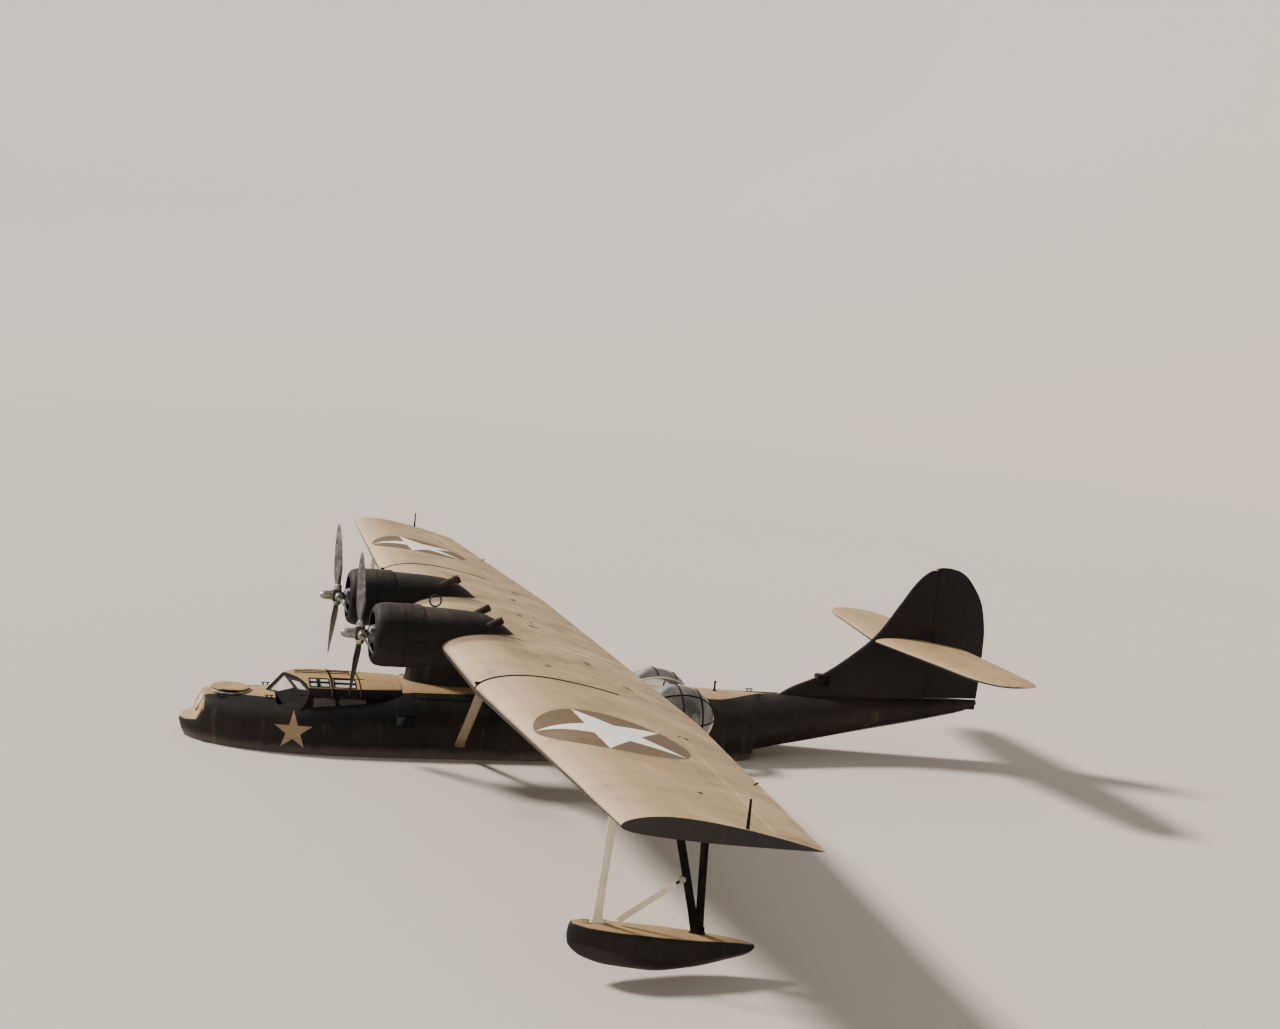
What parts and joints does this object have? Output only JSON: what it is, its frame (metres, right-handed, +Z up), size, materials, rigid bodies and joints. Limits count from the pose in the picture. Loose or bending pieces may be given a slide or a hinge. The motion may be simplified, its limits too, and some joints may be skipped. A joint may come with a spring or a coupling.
{
  "type": "flying boat",
  "caption": "Patrol flying boat afloat, with its wing on a pylon, radial engines, clear waist blisters and folding wing-tip floats.",
  "frame": {"origin": "on the waterline and the centre line, below the wing, 7.0 m aft of the bow tip", "axes": "+X aft, nose towards -X; +Y to starboard; +Z up"},
  "size_m": [19.5, 30.2, 5.74],
  "materials": {
    "hull_paint": "weathered matt paint",
    "wing_paint": "faded matt paint",
    "strut_paint": "pale matt paint",
    "propeller_paint": "satin black",
    "bare_metal": "brushed",
    "engine_metal": "oily",
    "glazing": "clear",
    "seat_leather": "worn",
    "instrument_black": "matt"
  },
  "bodies": {
    "hull": {"hull": "hull_paint", "bow_window": "glazing", "cockpit_enclosure": "hull_paint", "cockpit_glass": "glazing", "instrument_panel": "instrument_black", "control_yoke": "bare_metal", "pilot_seat_port": "seat_leather", "pilot_seat_starboard": "seat_leather", "blister_port": "glazing", "blister_starboard": "glazing", "pylon": "hull_paint", "wing_centre": "wing_paint", "wing_outer_port": "wing_paint", "wing_outer_starboard": "wing_paint", "wing_strut_front_port": "hull_paint", "wing_strut_front_starboard": "hull_paint", "wing_strut_rear_port": "hull_paint", "wing_strut_rear_starboard": "hull_paint", "nacelle_port": "wing_paint", "nacelle_starboard": "wing_paint", "engine_port": "engine_metal", "engine_starboard": "engine_metal", "cowling_port": "wing_paint", "cowling_starboard": "wing_paint", "fin": "hull_paint", "stabilizer_port": "wing_paint", "stabilizer_starboard": "wing_paint", "wing_mast_port": "bare_metal", "wing_mast_starboard": "bare_metal", "loop_antenna": "instrument_black"},
    "propeller_port": {"propeller_port": "propeller_paint"},
    "propeller_starboard": {"propeller_starboard": "propeller_paint"},
    "rudder": {"rudder": "wing_paint"},
    "elevators": {"elevator_port": "wing_paint", "elevator_starboard": "wing_paint"},
    "aileron_port": {"aileron_port": "wing_paint"},
    "aileron_starboard": {"aileron_starboard": "wing_paint"},
    "tip_float_port": {"float_port": "hull_paint", "float_frame_port": "strut_paint"},
    "tip_float_starboard": {"float_starboard": "hull_paint", "float_frame_starboard": "strut_paint"},
    "bow_hatch": {"bow_hatch": "hull_paint"}
  },
  "joints": [
    {"name": "propeller_port_spin", "type": "hinge", "parent": "hull", "child": "propeller_port", "pos_m": [-3.52, -2.17, 2.88], "axis": [1, 0, 0], "continuous": true},
    {"name": "propeller_starboard_spin", "type": "hinge", "parent": "hull", "child": "propeller_starboard", "pos_m": [-3.52, 2.17, 2.88], "axis": [1, 0, 0], "continuous": true},
    {"name": "rudder_turn", "type": "hinge", "parent": "hull", "child": "rudder", "pos_m": [11, 0, 3.05], "axis": [0, 0, 1], "range_deg": [-20, 20]},
    {"name": "elevator_turn", "type": "hinge", "parent": "hull", "child": "elevators", "pos_m": [10.93, 0, 2.84], "axis": [0, -1, 0], "range_deg": [-20, 30]},
    {"name": "aileron_port_turn", "type": "hinge", "parent": "hull", "child": "aileron_port", "pos_m": [1.3753, -9, 2.51503], "axis": [-0.0843, -0.9958, 0.0356], "range_deg": [-20, 20]},
    {"name": "aileron_starboard_turn", "type": "hinge", "parent": "hull", "child": "aileron_starboard", "pos_m": [1.3753, 9, 2.51503], "axis": [0.0843, -0.9958, -0.0356], "range_deg": [-20, 20]},
    {"name": "tip_float_port_fold", "type": "hinge", "parent": "hull", "child": "tip_float_port", "pos_m": [-1.65672, -13.25, 2.81805], "axis": [-0.9932, 0, 0.1167], "range_deg": [0, 90]},
    {"name": "tip_float_starboard_fold", "type": "hinge", "parent": "hull", "child": "tip_float_starboard", "pos_m": [-1.65672, 13.25, 2.81805], "axis": [0.9932, 0, -0.1167], "range_deg": [0, 90]},
    {"name": "bow_hatch_lift", "type": "hinge", "parent": "hull", "child": "bow_hatch", "pos_m": [-5.55, 0, 1.109], "axis": [0, 1, 0], "range_deg": [0, 105]}
  ],
  "couplings": [
    {"joint": "aileron_starboard_turn", "follows": "aileron_port_turn", "ratio": -1},
    {"joint": "tip_float_starboard_fold", "follows": "tip_float_port_fold", "ratio": 1}
  ]
}
